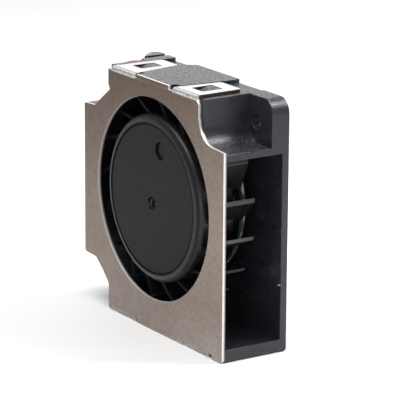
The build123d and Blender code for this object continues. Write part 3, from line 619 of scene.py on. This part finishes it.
red = lead("red_lead", RED_ROUTE, coil_points(0.56), RED_TAIL, "lead_red_pvc")
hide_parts("lead_red", "lead_red_coil")
black = lead("black_lead", BLACK_ROUTE, coil_points(2.82), BLACK_TAIL, "lead_black_pvc")
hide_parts("lead_black", "lead_black_coil")


def curve_length(ob):
    dg = bpy.context.evaluated_depsgraph_get()
    d0 = ob.data.bevel_depth
    ob.data.bevel_depth = 0.0
    dg.update()
    me = bpy.data.meshes.new_from_object(ob.evaluated_get(bpy.context.evaluated_depsgraph_get()))
    ob.data.bevel_depth = d0
    co = [v.co for v in me.vertices]
    total = sum((b - a).length for a, b in zip(co, co[1:]))
    bpy.data.meshes.remove(me)
    return total


RED_LENGTH = curve_length(red)
BLACK_LENGTH = curve_length(black)
print("lead lengths mm", round(RED_LENGTH * 1000, 1), round(BLACK_LENGTH * 1000, 1))
# ------------------------------------------------------------------ tie round the coil
def coil_tie():
    """A flat band pulled round the coil, with its small lock and cut end."""
    a = math.radians(144.0)
    centre = P(4.5 + 5.8 * math.cos(a), 25.5 + 5.8 * math.sin(a), 2.75)
    radial = Vector((math.cos(a), math.sin(a), 0))
    along = Vector((-math.sin(a), math.cos(a), 0))
    up = Vector((0, 0, 1))
    bm = bmesh.new()

    def outline(hw, hh, r, n=6):
        pts = []
        for cx, cz, a0 in ((hw - r, hh - r, 0), (-hw + r, hh - r, 90), (-hw + r, -hh + r, 180), (hw - r, -hh + r, 270)):
            for k in range(n + 1):
                t = math.radians(a0 + 90.0 * k / n)
                pts.append((cx + r * math.cos(t), cz + r * math.sin(t)))
        return pts

    rings = []
    for hw, hh, r, off in ((0.62, 2.32, 0.55, 0.72), (0.86, 2.56, 0.78, 0.72), (0.90, 2.60, 0.80, 0.60),
                           (0.90, 2.60, 0.80, -0.60), (0.86, 2.56, 0.78, -0.72), (0.62, 2.32, 0.55, -0.72)):
        rings.append([bm.verts.new(centre + (radial * x + up * z + along * off) * MM) for x, z in outline(hw, hh, r)])
    for r0, r1 in zip(rings, rings[1:] + rings[:1]):
        n = len(r0)
        for k in range(n):
            bm.faces.new((r0[k], r0[(k + 1) % n], r1[(k + 1) % n], r1[k]))

    def block(at, size):
        got = bmesh.ops.create_cube(bm, size=1.0)["verts"]
        for v in got:
            q = v.co.copy()
            v.co = at + (radial * q.x * size[0] + along * q.y * size[1] + up * q.z * size[2]) * MM

    block(centre + (radial * -0.15 + up * 2.95) * MM, (1.5, 1.9, 0.95))
    block(centre + (radial * -1.25 + up * 2.98) * MM, (1.5, 1.15, 0.26))
    bmesh.ops.recalc_face_normals(bm, faces=bm.faces)
    me = bpy.data.meshes.new("coil_tie")
    bm.to_mesh(me)
    bm.free()
    for f in me.polygons:
        f.use_smooth = True
    me.set_sharp_from_angle(angle=math.radians(40))
    me.materials.append(MATS["lead_black_pvc"])
    ob = bpy.data.objects.new("coil_tie", me)
    SCENE.collection.objects.link(ob)
    mod = ob.modifiers.new("round", "BEVEL")
    mod.width = 0.06 * MM
    mod.segments = 2
    mod.limit_method = "ANGLE"
    mod.angle_limit = math.radians(50)
    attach(ob, BODY)
    return ob


TIE = coil_tie()


def nib():
    """A small torn gate nib left on the inner edge of the back wall, at the outlet, painted pale grey as a painted
    glint.
    """
    bm = bmesh.new()
    bmesh.ops.create_icosphere(bm, subdivisions=3, radius=1.0)
    for v in bm.verts:
        c = v.co.copy()
        k = 1.0 + 0.16 * math.sin(5.0 * c.x + 2.0) * math.sin(4.0 * c.y + 1.0) + 0.10 * math.sin(9.0 * c.z + c.x)
        v.co = P(50.64, 13.52, 13.7) + Vector((c.x * 0.30 * k, c.y * 0.42 * k, c.z * 0.14 * k - 0.10 * abs(c.y))) * MM
    me = bpy.data.meshes.new("gate_nib")
    bm.to_mesh(me)
    bm.free()
    for f in me.polygons:
        f.use_smooth = True
    me.materials.append(MATS["nib_glint_plastic"])
    ob = bpy.data.objects.new("gate_nib", me)
    SCENE.collection.objects.link(ob)
    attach(ob, BODY)


# painted glint: the nib is painted pale grey against the black housing
MATS["nib_glint_plastic"] = dull("nib_glint_plastic", (0.34, 0.34, 0.35), 0.45, 2600.0, 0.02, 0.5, 0.35)
nib()


# ------------------------------------------------------------------ stage and light
WORLD_LOW, WORLD_STRENGTH = 0.38, 1.15
KEY, RIM, FILL, OUTLET, BACK, SIDE = 1.8, 1.7, 0.28, 0.50, 0.66, 0.03


def stage():
    me = bpy.data.meshes.new("floor")
    bm = bmesh.new()
    bmesh.ops.create_grid(bm, x_segments=8, y_segments=8, size=3.0)
    bm.to_mesh(me)
    bm.free()
    floor = bpy.data.objects.new("floor", me)
    m = Mat("floor_paper")
    n = m.noise(60.0, 4.0, 0.6)
    m.set("Base Color", m.mix(n, (0.86, 0.86, 0.855), (0.84, 0.84, 0.835)))
    m.set("Roughness", m.maprange(n, 0.3, 0.7, 0.85, 0.95))
    m.set("Specular IOR Level", 0.15)
    me.materials.append(m.m)
    SCENE.collection.objects.link(floor)

    world = bpy.data.worlds.new("studio")
    world.use_nodes = True
    SCENE.world = world
    nt = world.node_tree
    bg = next(x for x in nt.nodes if x.type == "BACKGROUND")

    def w_node(kind, inputs=None, **attrs):
        x = nt.nodes.new(kind)
        for k, v in attrs.items():
            setattr(x, k, v)
        for k, v in (inputs or {}).items():
            if isinstance(v, bpy.types.NodeSocket):
                nt.links.new(v, x.inputs[k])
            else:
                x.inputs[k].default_value = v
        return x

    ray = w_node("ShaderNodeTexCoord").outputs["Generated"]
    towards = w_node("ShaderNodeVectorMath", {0: ray, 1: (-0.80, 0.56, 0.22)}, operation="DOT_PRODUCT").outputs["Value"]
    glow = w_node("ShaderNodeMapRange", {"Value": towards, "From Min": 0.1, "From Max": 0.95, "To Min": 0.0,
                                         "To Max": 1.0}, interpolation_type="SMOOTHSTEP").outputs["Result"]
    ramp = w_node("ShaderNodeValToRGB", {"Fac": glow})
    els = ramp.color_ramp.elements
    els[0].position, els[0].color = 0.0, (WORLD_LOW, WORLD_LOW, WORLD_LOW * 1.02, 1)
    els[1].position, els[1].color = 1.0, (0.72, 0.72, 0.72, 1)
    nt.links.new(ramp.outputs["Color"], bg.inputs["Color"])
    bg.inputs["Strength"].default_value = WORLD_STRENGTH

    def area(name, place, target, size, power, colour=(1, 1, 1)):
        la = bpy.data.lights.new(name, "AREA")
        la.shape = "RECTANGLE"
        la.size, la.size_y = size
        la.energy = power
        la.color = colour
        ob = bpy.data.objects.new(name, la)
        ob.location = place
        ob.rotation_euler = (Vector(target) - Vector(place)).to_track_quat("-Z", "Y").to_euler()
        ob.visible_camera = False
        SCENE.collection.objects.link(ob)
        return ob

    area("key", (0.04, -0.13, 0.48), (0, 0, 0.02), (0.30, 0.30), KEY)
    area("rim", (0.13, 0.27, 0.38), (0, 0, 0.04), (0.20, 0.17), RIM)
    area("fill", (0.60, -0.42, 0.16), (0, 0, 0.02), (0.4, 0.3), FILL)
    area("outlet_fill", (0.55, -0.16, 0.05), (0.02, 0, 0.02), (0.2, 0.2), OUTLET)
    area("back_softbox", (-0.75, 0.52, 0.34), (0, 0, 0.03), (0.8, 0.5), BACK)
    area("side", (0.60, 0.25, 0.30), (0, 0, 0.03), (0.35, 0.35), SIDE)
    SCENE.view_settings.view_transform = "Standard"


stage()

# ------------------------------------------------------------------ end
bpy.context.view_layer.update()
